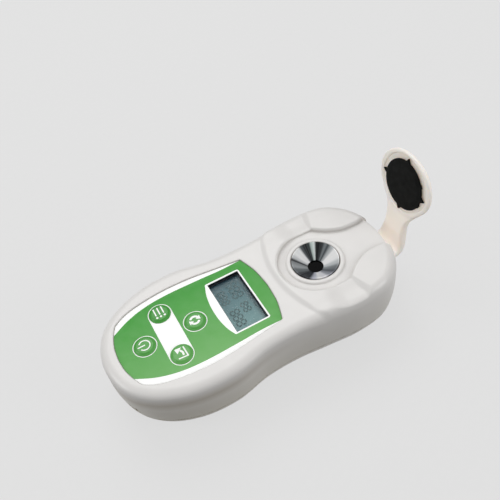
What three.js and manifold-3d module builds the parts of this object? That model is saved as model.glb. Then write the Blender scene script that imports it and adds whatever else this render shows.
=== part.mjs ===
// Handheld digital refractometer with a keypad, a display, a conical sample well
// and a hinged lid. Units are millimetres, +Z is up, +X runs from the keypad end
// to the lid end, and the origin is at the middle of the flat underside.

import * as THREE from "three";
import { mergeVertices } from "three/addons/utils/BufferGeometryUtils.js";
import Module from "manifold-3d";

const wasm = await Module();
wasm.setup();

// ---------------------------------------------------------------- dimensions

const FAR = 80;
const GAP = 0.3;
const SLIP = 0.05;

// casing
const LENGTH = 135;
const DECK_Z = 32.7;
const PLATFORM_Z = 33.8;
const PARTING_Z = 10;
const WALL = 2.2;
const DECK_THICKNESS = 2.4;
const FLOOR_THICKNESS = 2.4;
const TOP_ROUND = { inset: 4.4, height: 3.2 };
const LOWER_ROUND = { inset: 9.7, height: 24 };
const HOLLOW_ROUND = { inset: 9, height: 21.6 };
// half width of the outline at fractions of the length, from the keypad end
const HALF_WIDTHS = [
  [0.025, 14.2], [0.09, 23.6], [0.2, 29.9], [0.33, 31.1], [0.45, 27.8],
  [0.56, 27.2], [0.67, 28.5], [0.79, 29.5], [0.9, 26.7], [0.975, 15.8],
];
const OUTLINE_POINTS = 60;
const GASKET = { inner: 3.4, outer: 2.6, depth: 0.7 };

// keypad, label and display
const KEYS = {
  power: [-49, 0],
  cycle: [-26, 0],
  list: [-37.4, 11.7],
  export: [-37.4, -11.7],
};
const KEY = {
  radius: 4.75,
  rimZ: 32.45,
  topZ: 33.05,
  edge: 0.4,
  crown: 1.6,
  flangeRadius: 5.7,
  flangeZ: 29.9,
  flangeThickness: 0.8,
  stemRadius: 1.6,
  footZ: 28.6,
};
const KEY_REST_GAP = 0.45;
const LABEL_THICKNESS = 0.35;
const LABEL_KEYPAD_END = [[-60.7, 0], [-60.2, 6], [-58.4, 11.9], [-56.3, 16.1]];
const LABEL_SIDE = [
  [-56.3, 16.1], [-51.3, 19], [-43.7, 21], [-32, 22.3], [-20, 22.1], [-9.7, 20.9], [5.1, 19],
];
const LABEL_HEAD_END = [[5.1, 19], [6.4, 15], [7.9, 9], [8.6, 0]];
const LABEL_CLEARANCE = 0.15;
const WINDOW = { x0: -13.5, x1: 1.3, y: 14.4, drop: 0.8, rebate: 1.2 };
const LENS_THICKNESS = 1.1;
const PANEL = { x0: -14.6, x1: 2.4, y: 15.4, z0: 28, z1: 30 };
const CONTACT_STRIP = { width: 1.4, endInset: 1, sideInset: 0.2 };

// head
const WELL_X = 32.8;
const STEP_ARC = { x: 12.3, radius: 52, halfAngle: 40 };
const RECESS = { radius: 16.7, z: 31.8 };
const COLLAR = { inner: 10.9, outer: 12.6, top: 32.9, chamfer: 0.3 };
const NOTCH = { x0: 27.5, x1: 39.6, innerY: 13.6, z: 31.9, edgeY: 28, edgeZ: 31.3 };
const CHANNEL_END_X = 64.3;
// half width of the lid channel at places along the casing
const CHANNEL = [
  [40.5, 16.4], [43.5, 13.6], [47.1, 11.1], [52, 8.9], [56, 8.2], [60, 8.1], [64, 8.7], [70, 9.2],
];

// sample cup and optics
const CUP = {
  rimRadius: 10.6,
  rimZ: 33,
  rimLand: 0.4,
  rimChamfer: 0.15,
  wall: 1,
  shoulderDrop: 2.8,
  boreRadius: 3.5,
  boreLand: 2,
  bottomZ: 28.2,
  flangeRadius: 12.4,
  flangeZ: 27,
  flangeThickness: 1,
};
const CUP_SEAL = { offset: 0.9, wire: 0.62 };
const PRISM = { topLength: 8.4, bottomLength: 5.4, halfWidth: 3.5, z0: 22.9, z1: 27.9 };
const OPTICS = { x0: 22, x1: 44, halfWidth: 9, z0: 12, z1: 25, axisZ: 20.6 };
const OPTICS_CHAMBER = { halfLength: 4.7, halfWidth: 4, drop: 3 };
const OPTICS_LEG = { size: 3, inset: 1.5 };
const LAMP = { radius: 1.5, boreRadius: 1.7, length: 4, flangeRadius: 2.2, flangeLength: 1.1 };
const FOCUS_LENS = { offset: 6.2, radius: 3.5, boreRadius: 3.7 };
// radius as a share of the lens radius, and height, along the curved face
const FOCUS_LENS_FACE = [[1, 0.8], [0.75, 1.5], [0.4, 1.9]];
const FOCUS_LENS_DEPTH = 2.1;
const DETECTOR_BOARD = { x0: 45.4, x1: 47, halfWidth: 8, z0: 13, z1: 25 };
const DETECTOR = { halfWidth: 3, halfHeight: 3.8 };
const FLEX = { thickness: 0.3, halfWidth: 3.5, startX: 2, bendX: 15, lowX: 17, drop: 1.5, endZ: 18 };
const TEMPERATURE_SENSOR = { offset: 7.4, radius: 1, topZ: 28.4 };

// lid, described closed and measured from its hinge axis
const HINGE = { x: 63.9, z: 23.6 };
const LID_OPEN_ANGLE = THREE.MathUtils.degToRad(98);
const LID = {
  headX: WELL_X - HINGE.x,
  headShift: -1,
  halfLength: 14.7,
  halfWidth: 16.6,
  rimZ: 10.3,
  backZ: 13.3,
};
// share of the head's half size, and height over the rim, from the rim to the back
const LID_DOME = [[0.92, 0], [0.975, 0.4], [1, 1.2], [0.98, 1.9], [0.91, 2.4], [0.58, 2.8]];
const LID_SEAT = { radius: 13.2, z: 10.6 };
// side view of the neck, as X and Z from the hinge axis, and its half widths in plan
const NECK_START_X = LID.headX + LID_SEAT.radius + 0.2;
const NECK_UNDERSIDE = [
  [NECK_START_X, 10.3], [-13, 9.4], [-7, 9], [-2, 9], [0.9, 8.7], [2.2, 7.4], [2.5, 5], [2.4, 0],
];
const NECK_OUTSIDE = [
  [4, -0.5], [4.9, 3], [4.8, 6.2], [3.6, 9.1], [1, 11.1], [-3, 12.3], [-7.6, 12.7], [-12, 12.8],
  [NECK_START_X, 12.7],
];
const NECK_PLAN = [[NECK_START_X, 9.4], [-14.6, 7.3], [-11, 6.3], [-6, 6.2], [-2, 6.8], [1.4, 7.6]];
const TAIL_X = [2.4, 8];
const PAD = { radius: 12, z: 9.6, thickness: 0.7, nubReach: 14.2, nubHalfWidth: 1.6, nubThickness: 0.4 };
const KNUCKLE = { radius: 3.6, halfWidth: 8.4 };
const PIN = { radius: 1.25, halfLength: 12.2, running: 0.08 };
const POCKET = { x0: 59.5, halfWidth: 9, z0: 18, z1: 27.8 };

// battery compartment
const CELL = {
  radius: 5.2,
  length: 43.4,
  nubRadius: 1.9,
  nubLength: 1.1,
  y: 5.7,
  z: 8.6,
  flatLeftX: -10.9,
  flatRightX: -53.1,
};
const BAY = { x0: -55.8, x1: -8.2, halfWidth: 12.2, z: 14.9, wall: 1.7 };
const DOOR = { x1: -6, lipZ: 1.15, thickness: 2, halfWidth: 12, tongueHalfWidth: 13.4 };
const CONTACT = { thickness: 0.3, halfWidth: 3.4, z0: 4.6, z1: 12.6, rearX: -55.7, frontX: -8.6 };
const BRIDGE_HALF_WIDTH = 9;
const SPRING = { wire: 0.3, sides: 6, baseRadius: 3.1, tipRadius: 1.8, turns: 2.25, steps: 28 };
const SPRING_ENDS = { left: [-9, -10.5], right: [-55, -53.5] };

// screws, main board and wrist-strap slot
const SCREWS = {
  rear_left: [-22, 17.5],
  rear_right: [-22, -17.5],
  front_left: [46, 15],
  front_right: [46, -15],
};
const SCREW = {
  headRadius: 2.6,
  headZ: 3.5,
  seatZ: 5.3,
  shankRadius: 1.2,
  tipZ: 20,
  slotReach: 1.6,
  slotHalfWidth: 0.3,
  slotDepth: 0.8,
};
const BOSS_RADIUS = 3;
const BOSS_WALL = 1.3;
const BOARD = { z: 23.2, thickness: 1.6, inset: 6, x0: -58, x1: 11 };
const SWITCH = { size: 6, bodyHeight: 2.6, plungerRadius: 1.7 };
const STRAP_SLOT = { y: -13, halfWidth: 2.6, z0: 14, z1: 17.2, floorX: -60.2 };
const STRAP_BAR = { x: -62.1, radius: 0.7, anchorage: 1.1 };

// ----------------------------------------------------------- general helpers

function toSolid(geometry) {
  geometry.deleteAttribute("normal");
  geometry.deleteAttribute("uv");
  const merged = mergeVertices(geometry, 1e-4);
  const corners = merged.index.array;
  const triangles = [];
  for (let i = 0; i < corners.length; i += 3) {
    const [a, b, c] = [corners[i], corners[i + 1], corners[i + 2]];
    if (a !== b && b !== c && c !== a) {
      triangles.push(a, b, c);
    }
  }
  return new wasm.Manifold(new wasm.Mesh({
    numProp: 3,
    vertProperties: new Float32Array(merged.attributes.position.array),
    triVerts: new Uint32Array(triangles),
  }));
}

function toGeometry(solid) {
  const mesh = solid.getMesh();
  const geometry = new THREE.BufferGeometry();
  geometry.setAttribute("position", new THREE.BufferAttribute(mesh.vertProperties, 3));
  geometry.setIndex(new THREE.BufferAttribute(mesh.triVerts, 1));
  geometry.computeVertexNormals();
  return geometry;
}

function box(x0, x1, y0, y1, z0, z1) {
  const geometry = new THREE.BoxGeometry(x1 - x0, y1 - y0, z1 - z0);
  geometry.translate((x0 + x1) / 2, (y0 + y1) / 2, (z0 + z1) / 2);
  return toSolid(geometry);
}

function barX(x0, x1, y, z, radius, segments = 24) {
  const geometry = new THREE.CylinderGeometry(radius, radius, x1 - x0, segments);
  geometry.rotateZ(Math.PI / 2);
  geometry.translate((x0 + x1) / 2, y, z);
  return toSolid(geometry);
}

function barY(x, y0, y1, z, radius, segments = 24) {
  const geometry = new THREE.CylinderGeometry(radius, radius, y1 - y0, segments);
  geometry.translate(x, (y0 + y1) / 2, z);
  return toSolid(geometry);
}

function barZ(x, y, z0, z1, radius, segments = 28) {
  const geometry = new THREE.CylinderGeometry(radius, radius, z1 - z0, segments);
  geometry.rotateX(Math.PI / 2);
  geometry.translate(x, y, (z0 + z1) / 2);
  return toSolid(geometry);
}

// closed profile of [radius, z] pairs, listed upward on the outside, turned about a vertical line
function turned(profile, x, y, segments = 40) {
  const points = profile.map(([radius, z]) => new THREE.Vector2(radius, z));
  if (profile[0][0] > 0) {
    points.push(points[0].clone());
  }
  const geometry = new THREE.LatheGeometry(points, segments);
  geometry.rotateX(Math.PI / 2);
  geometry.translate(x, y, 0);
  return toSolid(geometry);
}

function polygon(points) {
  return new THREE.Shape(points.map(([x, y]) => new THREE.Vector2(x, y)));
}

function straightExtrusion(shape, depth) {
  return new THREE.ExtrudeGeometry(shape, { depth, bevelEnabled: false });
}

// shape drawn in Y and Z, extruded along X
function prismX(shape, x0, x1) {
  const geometry = straightExtrusion(shape, x1 - x0);
  geometry.rotateX(Math.PI / 2);
  geometry.rotateZ(Math.PI / 2);
  geometry.translate(x0, 0, 0);
  return toSolid(geometry);
}

// shape drawn in X and Z, extruded along Y
function prismY(shape, y0, y1) {
  const geometry = straightExtrusion(shape, y1 - y0);
  geometry.rotateX(Math.PI / 2);
  geometry.translate(0, y1, 0);
  return toSolid(geometry);
}

// shape drawn in X and Y, extruded along Z
function prismZ(shape, z0, z1) {
  const geometry = straightExtrusion(shape, z1 - z0);
  geometry.translate(0, 0, z0);
  return toSolid(geometry);
}

function smooth(points, steps) {
  const curve = new THREE.SplineCurve(points.map(([x, y]) => new THREE.Vector2(x, y)));
  return curve.getPoints(steps).map((point) => [point.x, point.y]);
}

// outline through the given half, on the +Y side, and its mirror image
function mirrored(half) {
  const otherHalf = half.filter(([, y]) => y > 0).map(([x, y]) => [x, -y]);
  return [...half, ...otherHalf.reverse()];
}

// -------------------------------------------------------------- casing forms

function casingOutline(inset) {
  const upper = HALF_WIDTHS.map(([part, width]) => [(part - 0.5) * LENGTH, width]);
  const ring = mirrored([[-LENGTH / 2, 0], ...upper, [LENGTH / 2, 0]]);
  const places = ring.map(([x, y]) => new THREE.Vector3(x, y, 0));
  const curve = new THREE.CatmullRomCurve3(places, true, "centripetal");
  const outline = [];
  for (let i = 0; i < OUTLINE_POINTS; i += 1) {
    const place = curve.getPointAt(i / OUTLINE_POINTS);
    const tangent = curve.getTangentAt(i / OUTLINE_POINTS);
    outline.push([place.x + tangent.y * inset, place.y - tangent.x * inset]);
  }
  return outline.reverse();
}

// block with the casing's outline whose two flat ends are rounded over
function roundedBlock(inset, round, z0, z1) {
  const geometry = new THREE.ExtrudeGeometry(polygon(casingOutline(inset + round.inset)), {
    depth: z1 - z0 - 2 * round.height,
    bevelEnabled: true,
    bevelThickness: round.height,
    bevelSize: round.inset,
    bevelSegments: 4,
  });
  geometry.translate(0, 0, z0 + round.height);
  return toSolid(geometry);
}

function casingUpTo(topZ) {
  return roundedBlock(0, LOWER_ROUND, 0, 2 * FAR).intersect(roundedBlock(0, TOP_ROUND, -FAR, topZ));
}

// everything on the lid side of the curved step that crosses the deck
function headRegion() {
  const arc = [];
  for (let degrees = -STEP_ARC.halfAngle; degrees <= STEP_ARC.halfAngle; degrees += 5) {
    const angle = THREE.MathUtils.degToRad(degrees);
    const x = STEP_ARC.x + STEP_ARC.radius * (1 - Math.cos(angle));
    arc.push([x, -STEP_ARC.radius * Math.sin(angle)]);
  }
  return prismZ(polygon([[FAR, FAR / 2], ...arc, [FAR, -FAR / 2]].reverse()), -1, FAR);
}

// keyhole recess for the lid: a round seat with a raised collar, and the channel for its neck
function lidRecess() {
  const seat = barZ(WELL_X, 0, RECESS.z, FAR, RECESS.radius, 48);
  const channelHalf = [[WELL_X, RECESS.radius - 1], ...smooth(CHANNEL, 14)];
  const channel = prismZ(polygon(mirrored(channelHalf).reverse()), RECESS.z, FAR);
  const collar = turned([
    [0, RECESS.z - 1],
    [COLLAR.outer + COLLAR.chamfer, RECESS.z - 1],
    [COLLAR.outer + COLLAR.chamfer, RECESS.z],
    [COLLAR.outer, COLLAR.top - COLLAR.chamfer],
    [COLLAR.outer - COLLAR.chamfer, COLLAR.top],
    [0, COLLAR.top],
  ], WELL_X, 0);
  return seat.add(channel).subtract(collar);
}

// shallow finger notches at both sides of the seat
function fingerNotches() {
  const section = polygon([
    [NOTCH.innerY, NOTCH.z],
    [NOTCH.edgeY, NOTCH.edgeZ],
    [FAR / 2, NOTCH.edgeZ - 3],
    [FAR / 2, FAR],
    [NOTCH.innerY, FAR],
  ]);
  const left = prismX(section, NOTCH.x0, NOTCH.x1);
  return left.add(left.mirror([0, 1, 0]));
}

// pocket under the channel floor for the lid's knuckle, open at the casing's end
function hingePocket() {
  const { x0, halfWidth, z0, z1 } = POCKET;
  const pocket = box(x0, FAR, -halfWidth, halfWidth, z0, z1);
  return pocket.add(box(CHANNEL_END_X, FAR, -halfWidth, halfWidth, z0, FAR));
}

function strapSlot(margin) {
  const { y, halfWidth, z0, z1, floorX } = STRAP_SLOT;
  const side = halfWidth + margin;
  return box(-FAR, floorX + margin, y - side, y + side, z0 - margin, z1 + margin);
}

const deckForm = casingUpTo(DECK_Z);
const headForm = casingUpTo(PLATFORM_Z).intersect(headRegion());
const outerForm = deckForm.add(headForm)
  .subtract(lidRecess().add(fingerNotches()))
  .subtract(hingePocket())
  .subtract(strapSlot(0));
const hollow = roundedBlock(WALL, HOLLOW_ROUND, FLOOR_THICKNESS, 2 * FAR)
  .intersect(roundedBlock(WALL, TOP_ROUND, -FAR, DECK_Z - DECK_THICKNESS));
const aboveParting = box(-FAR, FAR, -FAR, FAR, PARTING_Z, FAR);
const belowParting = box(-FAR, FAR, -FAR, FAR, -1, PARTING_Z);

// -------------------------------------------------------------- casing pieces

// material left under the recess, the notches and the hinge pocket
function headBacking() {
  const underside = RECESS.z - DECK_THICKNESS;
  const pinSide = PIN.halfLength + 1;
  return barZ(WELL_X, 0, underside, RECESS.z, RECESS.radius + 2, 48)
    .add(box(WELL_X, CHANNEL_END_X, -CUP.flangeRadius, CUP.flangeRadius, underside, RECESS.z))
    .add(box(NOTCH.x0 - 2, NOTCH.x1 + 2, -NOTCH.edgeY, NOTCH.edgeY, underside - 1, NOTCH.edgeZ))
    .add(box(POCKET.x0 - WALL, FAR, -pinSide, pinSide, POCKET.z0 - WALL, underside));
}

function screwBosses() {
  const posts = Object.values(SCREWS).map(([x, y]) => (
    barZ(x, y, PARTING_Z + GAP, DECK_Z - DECK_THICKNESS + 0.5, BOSS_RADIUS, 16)
      .subtract(barZ(x, y, 0, SCREW.tipZ + 2, SCREW.shankRadius + 0.1, 16))
  ));
  return wasm.Manifold.union(posts);
}

// upright bar that the wrist strap loops round
function strapBar(grow) {
  const { x, radius, anchorage } = STRAP_BAR;
  const reach = anchorage + grow;
  return barZ(x, STRAP_SLOT.y, STRAP_SLOT.z0 - reach, STRAP_SLOT.z1 + reach, radius + grow, 16);
}

function hingePin(grow) {
  return barY(HINGE.x, -PIN.halfLength - grow, PIN.halfLength + grow, HINGE.z, PIN.radius + grow);
}

function displayOpening() {
  const { x0, x1, y, drop, rebate } = WINDOW;
  const aperture = box(x0, x1, -y, y, PANEL.z0, FAR);
  const side = rebate + 2 * SLIP;
  return aperture.add(box(x0 - side, x1 + side, -y - side, y + side, BOARD.z, DECK_Z - drop + SLIP));
}

function keyHoles(margin, z0) {
  const holes = Object.values(KEYS).map(([x, y]) => barZ(x, y, z0, FAR, KEY.radius + margin));
  return wasm.Manifold.union(holes);
}

function labelShape(grow) {
  const half = [
    ...smooth(LABEL_KEYPAD_END, 5),
    ...smooth(LABEL_SIDE, 12).slice(1),
    ...smooth(LABEL_HEAD_END, 5).slice(1),
  ];
  const middleX = (LABEL_KEYPAD_END[0][0] + LABEL_HEAD_END.at(-1)[0]) / 2;
  const stretch = 1 + grow / LABEL_SIDE[3][1];
  const outline = half.map(([x, y]) => [middleX + (x - middleX) * stretch, y * stretch]);
  return polygon(mirrored(outline).reverse());
}

function makeTopShell() {
  const underside = RECESS.z - DECK_THICKNESS;
  return outerForm.subtract(hollow)
    .add(headBacking().add(strapSlot(WALL)).intersect(outerForm))
    .add(screwBosses())
    .intersect(aboveParting)
    .subtract(barZ(WELL_X, 0, underside - 1, FAR, COLLAR.inner, 48))
    .subtract(barZ(WELL_X, 0, 0, underside, CUP.flangeRadius + 1, 48))
    .subtract(prismZ(labelShape(LABEL_CLEARANCE), DECK_Z - LABEL_THICKNESS - SLIP, FAR))
    .subtract(displayOpening())
    .subtract(keyHoles(GAP, PANEL.z0))
    .subtract(hingePin(SLIP))
    .subtract(strapBar(SLIP));
}

function batteryBayBlock() {
  const { x0, x1, halfWidth, z, wall } = BAY;
  const bottom = FLOOR_THICKNESS - 0.4;
  const side = halfWidth + wall;
  const roofOverChannel = box(-FAR, x0, -side, side, bottom, FLOOR_THICKNESS + 2);
  return box(x0 - wall, x1 + wall, -side, side, bottom, z + wall).add(roofOverChannel).intersect(deckForm);
}

function doorChannel() {
  const { x1, halfWidth, tongueHalfWidth, lipZ, thickness } = DOOR;
  const slot = box(-FAR, x1 + GAP, -halfWidth - GAP, halfWidth + GAP, -1, lipZ);
  const grooveSide = tongueHalfWidth + GAP;
  return slot.add(box(-FAR, x1 + GAP, -grooveSide, grooveSide, lipZ - 0.2, thickness + 0.2));
}

function gasketRing(clearance, z0, z1) {
  return prismZ(polygon(casingOutline(GASKET.outer - clearance)), z0, z1)
    .subtract(prismZ(polygon(casingOutline(GASKET.inner + clearance)), z0 - 1, z1 + 1));
}

function makeBottomShell() {
  const posts = Object.values(SCREWS).map(([x, y]) => (
    barZ(x, y, 1, PARTING_Z - GAP, SCREW.headRadius + GAP + BOSS_WALL, 24)
  ));
  const holes = Object.values(SCREWS).flatMap(([x, y]) => [
    barZ(x, y, -1, SCREW.seatZ + SLIP, SCREW.headRadius + GAP, 24),
    barZ(x, y, 0, PARTING_Z + 1, SCREW.shankRadius + GAP, 16),
  ]);
  return outerForm.subtract(hollow)
    .intersect(belowParting)
    .add(batteryBayBlock())
    .add(wasm.Manifold.union(posts))
    .subtract(box(BAY.x0, BAY.x1, -BAY.halfWidth, BAY.halfWidth, -1, BAY.z))
    .subtract(doorChannel())
    .subtract(wasm.Manifold.union(holes))
    .subtract(gasketRing(2 * SLIP, PARTING_Z - GASKET.depth, PARTING_Z + 1));
}

function makeBatteryDoor() {
  const { x1, halfWidth, tongueHalfWidth, lipZ, thickness } = DOOR;
  const plate = box(-FAR, x1, -halfWidth, halfWidth, -1, lipZ + 0.1);
  return plate.add(box(-FAR, x1, -tongueHalfWidth, tongueHalfWidth, lipZ, thickness)).intersect(deckForm);
}

function makeLabel() {
  return prismZ(labelShape(0), DECK_Z - LABEL_THICKNESS, DECK_Z)
    .subtract(keyHoles(GAP, 0))
    .subtract(box(WINDOW.x0, WINDOW.x1, -WINDOW.y, WINDOW.y, 0, FAR));
}

function makeScrew(x, y) {
  const { headRadius, headZ, seatZ, shankRadius, tipZ, slotReach, slotHalfWidth, slotDepth } = SCREW;
  const slotTop = headZ + slotDepth;
  const along = box(x - slotReach, x + slotReach, y - slotHalfWidth, y + slotHalfWidth, headZ - 1, slotTop);
  const across = box(x - slotHalfWidth, x + slotHalfWidth, y - slotReach, y + slotReach, headZ - 1, slotTop);
  return barZ(x, y, headZ, seatZ, headRadius, 20)
    .add(barZ(x, y, seatZ - SLIP, tipZ, shankRadius, 12))
    .subtract(along.add(across));
}

// ------------------------------------------------------- keys and electronics

function makeKey(x, y) {
  const { radius, rimZ, topZ, edge, crown, flangeRadius, flangeZ, flangeThickness, stemRadius, footZ } = KEY;
  return turned([
    [0, footZ],
    [stemRadius, footZ],
    [stemRadius, flangeZ - flangeThickness],
    [flangeRadius, flangeZ - flangeThickness],
    [flangeRadius, flangeZ],
    [radius, flangeZ],
    [radius, rimZ],
    [radius - edge, (rimZ + topZ) / 2],
    [radius - crown, topZ - SLIP],
    [0, topZ],
  ], x, y, 24);
}

function makeSwitch(x, y) {
  const { size, bodyHeight, plungerRadius } = SWITCH;
  const boardTop = BOARD.z + BOARD.thickness + SLIP;
  const body = box(x - size / 2, x + size / 2, y - size / 2, y + size / 2, boardTop, boardTop + bodyHeight);
  return body.add(barZ(x, y, boardTop + 1, KEY.footZ - KEY_REST_GAP, plungerRadius, 16));
}

function makeMainBoard() {
  const { z, thickness, inset, x0, x1 } = BOARD;
  const holes = Object.values(SCREWS).map(([x, y]) => barZ(x, y, 0, FAR, BOSS_RADIUS + 0.5, 20));
  return prismZ(polygon(casingOutline(inset)), z, z + thickness)
    .intersect(box(x0, x1, -FAR, FAR, 0, FAR))
    .subtract(wasm.Manifold.union(holes));
}

function makeContactStrip(x) {
  const side = PANEL.y - CONTACT_STRIP.endInset;
  return box(x, x + CONTACT_STRIP.width, -side, side, BOARD.z + BOARD.thickness + SLIP, PANEL.z0 - SLIP);
}

function makeLens() {
  const { x0, x1, y, drop, rebate } = WINDOW;
  const topZ = DECK_Z - drop;
  return box(x0 - rebate, x1 + rebate, -y - rebate, y + rebate, topZ - LENS_THICKNESS, topZ);
}

// ------------------------------------------------------- sample cup and optics

function makeCup() {
  const { rimRadius, rimZ, rimLand, rimChamfer, wall, shoulderDrop } = CUP;
  const { boreRadius, boreLand, bottomZ, flangeRadius, flangeZ, flangeThickness } = CUP;
  return turned([
    [boreRadius, bottomZ],
    [boreRadius + boreLand, bottomZ],
    [rimRadius - wall, rimZ - shoulderDrop],
    [rimRadius - wall, flangeZ],
    [flangeRadius, flangeZ],
    [flangeRadius, flangeZ + flangeThickness],
    [rimRadius, flangeZ + flangeThickness],
    [rimRadius, rimZ - rimChamfer],
    [rimRadius - rimChamfer, rimZ],
    [rimRadius - rimLand, rimZ],
    [boreRadius, bottomZ + rimLand],
  ], WELL_X, 0, 48);
}

function makeCupSeal() {
  const z = (CUP.flangeZ + CUP.flangeThickness + RECESS.z - DECK_THICKNESS) / 2;
  const ring = new THREE.TorusGeometry(CUP.rimRadius + CUP_SEAL.offset, CUP_SEAL.wire, 6, 32);
  ring.translate(WELL_X, 0, z);
  return toSolid(ring);
}

function makePrism() {
  const { topLength, bottomLength, halfWidth, z0, z1 } = PRISM;
  const section = polygon([
    [WELL_X - bottomLength / 2, z0],
    [WELL_X + bottomLength / 2, z0],
    [WELL_X + topLength / 2, z1],
    [WELL_X - topLength / 2, z1],
  ]);
  return prismY(section, -halfWidth, halfWidth);
}

// block that holds prism, lamp and lens, on four legs
function makeOpticsBlock() {
  const { x0, x1, halfWidth, z0, z1, axisZ } = OPTICS;
  const { halfLength, halfWidth: side, drop } = OPTICS_CHAMBER;
  const chamber = box(WELL_X - halfLength, WELL_X + halfLength, -side, side, axisZ - drop, z1 + 1);
  const lampBore = barX(x0 - 1, WELL_X, 0, axisZ, LAMP.boreRadius);
  const lensBore = barX(WELL_X, x1 + 1, 0, axisZ, FOCUS_LENS.boreRadius);
  const { size, inset } = OPTICS_LEG;
  const legs = [x0 + inset, x1 - inset - size].flatMap((x) => [-halfWidth, halfWidth - size].map((y) => (
    box(x, x + size, y, y + size, FLOOR_THICKNESS + SLIP, z0 + 1)
  )));
  return box(x0, x1, -halfWidth, halfWidth, z0, z1)
    .add(wasm.Manifold.union(legs))
    .subtract(chamber.add(lampBore).add(lensBore));
}

function makeLamp() {
  const { x0, axisZ } = OPTICS;
  const flange = barX(x0 - LAMP.flangeLength, x0 - SLIP, 0, axisZ, LAMP.flangeRadius);
  return flange.add(barX(x0 - LAMP.flangeLength / 2, x0 + LAMP.length, 0, axisZ, LAMP.radius));
}

// plano-convex lens with its axis along X
function makeFocusLens() {
  const profile = [[0, 0], [1, 0], ...FOCUS_LENS_FACE, [0, FOCUS_LENS_DEPTH]];
  const points = profile.map(([share, height]) => new THREE.Vector2(share * FOCUS_LENS.radius, height));
  const geometry = new THREE.LatheGeometry(points, 24);
  geometry.rotateZ(-Math.PI / 2);
  geometry.translate(WELL_X + FOCUS_LENS.offset, 0, OPTICS.axisZ);
  return toSolid(geometry);
}

function makeDetectorBoard() {
  const { x0, x1, halfWidth, z0, z1 } = DETECTOR_BOARD;
  return box(x0, x1, -halfWidth, halfWidth, z0, z1);
}

function makeDetector() {
  const { x0 } = DETECTOR_BOARD;
  const { x1, axisZ } = OPTICS;
  const { halfWidth, halfHeight } = DETECTOR;
  return box(x1 + GAP, x0 - SLIP, -halfWidth, halfWidth, axisZ - halfHeight, axisZ + halfHeight);
}

function makeTemperatureSensor() {
  const { offset, radius, topZ } = TEMPERATURE_SENSOR;
  return barZ(WELL_X + offset, 0, OPTICS.z1 + SLIP, topZ, radius, 16);
}

// flat cable from the main board, under the optics block, to the detector board
function makeSensorFlex() {
  const { thickness, halfWidth, startX, bendX, lowX, drop, endZ } = FLEX;
  const backX = DETECTOR_BOARD.x1 + SLIP;
  const lowZ = OPTICS.z0 - drop;
  const startZ = BOARD.z - SLIP - thickness;
  const section = polygon([
    [startX, startZ],
    [bendX, startZ],
    [lowX, lowZ],
    [backX + thickness, lowZ],
    [backX + thickness, endZ],
    [backX, endZ],
    [backX, lowZ + thickness],
    [lowX + thickness, lowZ + thickness],
    [bendX + thickness, startZ + thickness],
    [startX, startZ + thickness],
  ]);
  return prismY(section, -halfWidth, halfWidth);
}

// ------------------------------------------------------------------ batteries

// cell lying along X with its nub at the +X end, or at the -X end when flipped
function makeCell(y, flipped) {
  const { radius, length, nubRadius, nubLength, z } = CELL;
  const flatX = flipped ? CELL.flatLeftX : CELL.flatRightX;
  const side = flipped ? -1 : 1;
  const nubFoot = flatX + side * length;
  const nubTip = nubFoot + side * nubLength;
  const body = barX(Math.min(flatX, nubFoot), Math.max(flatX, nubFoot), y, z, radius, 24);
  const nub = barX(Math.min(nubFoot - side, nubTip), Math.max(nubFoot - side, nubTip), y, z, nubRadius, 20);
  return body.add(nub);
}

function makeContactPlate(x, y0, y1) {
  return box(x, x + CONTACT.thickness, y0, y1, CONTACT.z0, CONTACT.z1);
}

class ConicalHelix extends THREE.Curve {
  constructor(x0, x1, y, z) {
    super();
    Object.assign(this, { x0, x1, y, z });
  }

  getPoint(t) {
    const radius = THREE.MathUtils.lerp(SPRING.baseRadius, SPRING.tipRadius, t);
    const angle = 2 * Math.PI * SPRING.turns * t;
    return new THREE.Vector3(
      THREE.MathUtils.lerp(this.x0, this.x1, t),
      this.y + radius * Math.cos(angle),
      this.z + radius * Math.sin(angle),
    );
  }
}

function makeSpring([x0, x1], y) {
  const wire = [];
  for (let i = 0; i < SPRING.sides; i += 1) {
    const angle = (2 * Math.PI * i) / SPRING.sides;
    wire.push([SPRING.wire * Math.cos(angle), SPRING.wire * Math.sin(angle)]);
  }
  const path = new ConicalHelix(x0, x1, y, CELL.z);
  return toSolid(new THREE.ExtrudeGeometry(polygon(wire), { steps: SPRING.steps, extrudePath: path }));
}

// ------------------------------------------------------------------------ lid

function lidHead() {
  const { headX, headShift, halfLength, halfWidth, rimZ, backZ } = LID;
  const edge = LID_DOME.map(([share, height]) => [share, rimZ + height]);
  const dome = turned([[0, rimZ], ...edge, [0, backZ]], 0, 0, 44);
  return dome.scale([halfLength, halfWidth, 1])
    .translate([headX + headShift, 0, 0])
    .subtract(barZ(headX, 0, 0, LID_SEAT.z, LID_SEAT.radius, 40));
}

// neck and tail of the lid: a side view and a plan view that cut each other
function lidNeck() {
  const section = polygon([...smooth(NECK_UNDERSIDE, 18), ...smooth(NECK_OUTSIDE, 18)]);
  const tail = TAIL_X.map((x) => [x, KNUCKLE.halfWidth]);
  const plan = mirrored([...smooth(NECK_PLAN, 12), ...tail]);
  const sideView = prismY(section, -FAR, FAR);
  return sideView.intersect(prismZ(polygon(plan.reverse()), -FAR, FAR));
}

function makeLidCover() {
  const { radius, halfWidth } = KNUCKLE;
  return lidHead()
    .add(lidNeck())
    .add(barY(0, -halfWidth, halfWidth, 0, radius, 28))
    .subtract(barY(0, -FAR, FAR, 0, PIN.radius + PIN.running, 32));
}

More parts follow.
